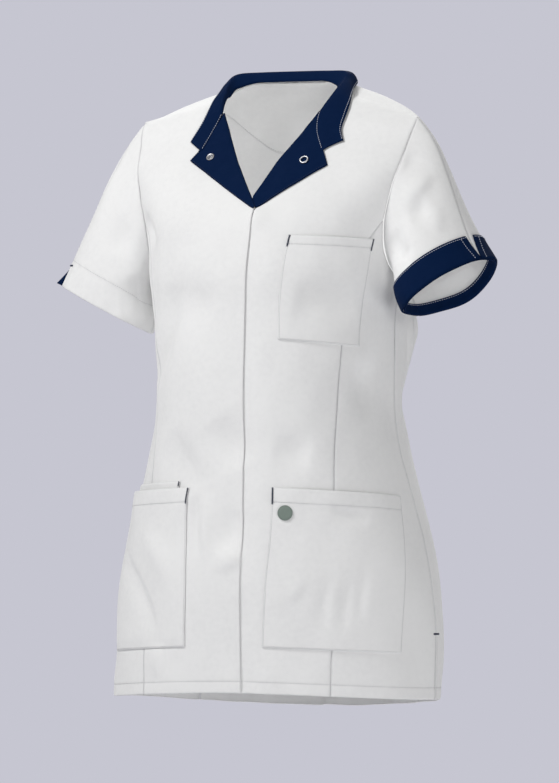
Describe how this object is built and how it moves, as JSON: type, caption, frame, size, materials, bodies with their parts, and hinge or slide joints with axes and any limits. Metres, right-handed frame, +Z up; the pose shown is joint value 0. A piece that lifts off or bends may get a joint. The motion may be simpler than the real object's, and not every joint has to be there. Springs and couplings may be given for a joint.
{
  "type": "medical tunic",
  "caption": "Fitted short-sleeved wrap-front tunic with notched collar and lapels, patch pockets, side slits and one turned-up cuff, filled out as worn without a wearer.",
  "frame": {"origin": "where a wearer or stand holds the garment up: on the middle plane at the base of the neck, level with the shoulder seams, about 24 mm below the back neckline and 711 mm above the side hem", "axes": "+Z up along the garment, -Y out of the front, +X towards the wearer's left"},
  "size_m": [0.5623, 0.3036, 0.7599],
  "materials": {
    "cloth": "smooth white poly-cotton twill",
    "trim_cloth": "navy poly-cotton twill",
    "snap_metal": "satin",
    "tab_cloth": "woven grey-green"
  },
  "bodies": {
    "root": {"front_right_centre": "cloth", "front_left_centre": "cloth", "front_right_side": "cloth", "front_left_side": "cloth", "back_centre": "cloth", "back_right_side": "cloth", "back_left_side": "cloth", "sleeve_left_front": "cloth", "sleeve_left_back": "cloth", "sleeve_right_front": "cloth", "sleeve_right_back": "cloth", "cuff_left_front": "trim_cloth", "cuff_left_back": "trim_cloth", "cuff_left_inner": "trim_cloth", "hem_facing_right": "trim_cloth", "collar": "trim_cloth", "lapel_right": "trim_cloth", "lapel_left": "trim_cloth", "back_neck_facing": "cloth", "chest_pocket": "cloth", "hip_pocket_left": "cloth", "hip_pocket_right": "cloth", "inner_pocket_right": "cloth", "snap_stud": "snap_metal", "snap_ring": "snap_metal", "pocket_tab": "tab_cloth"}
  },
  "joints": []
}
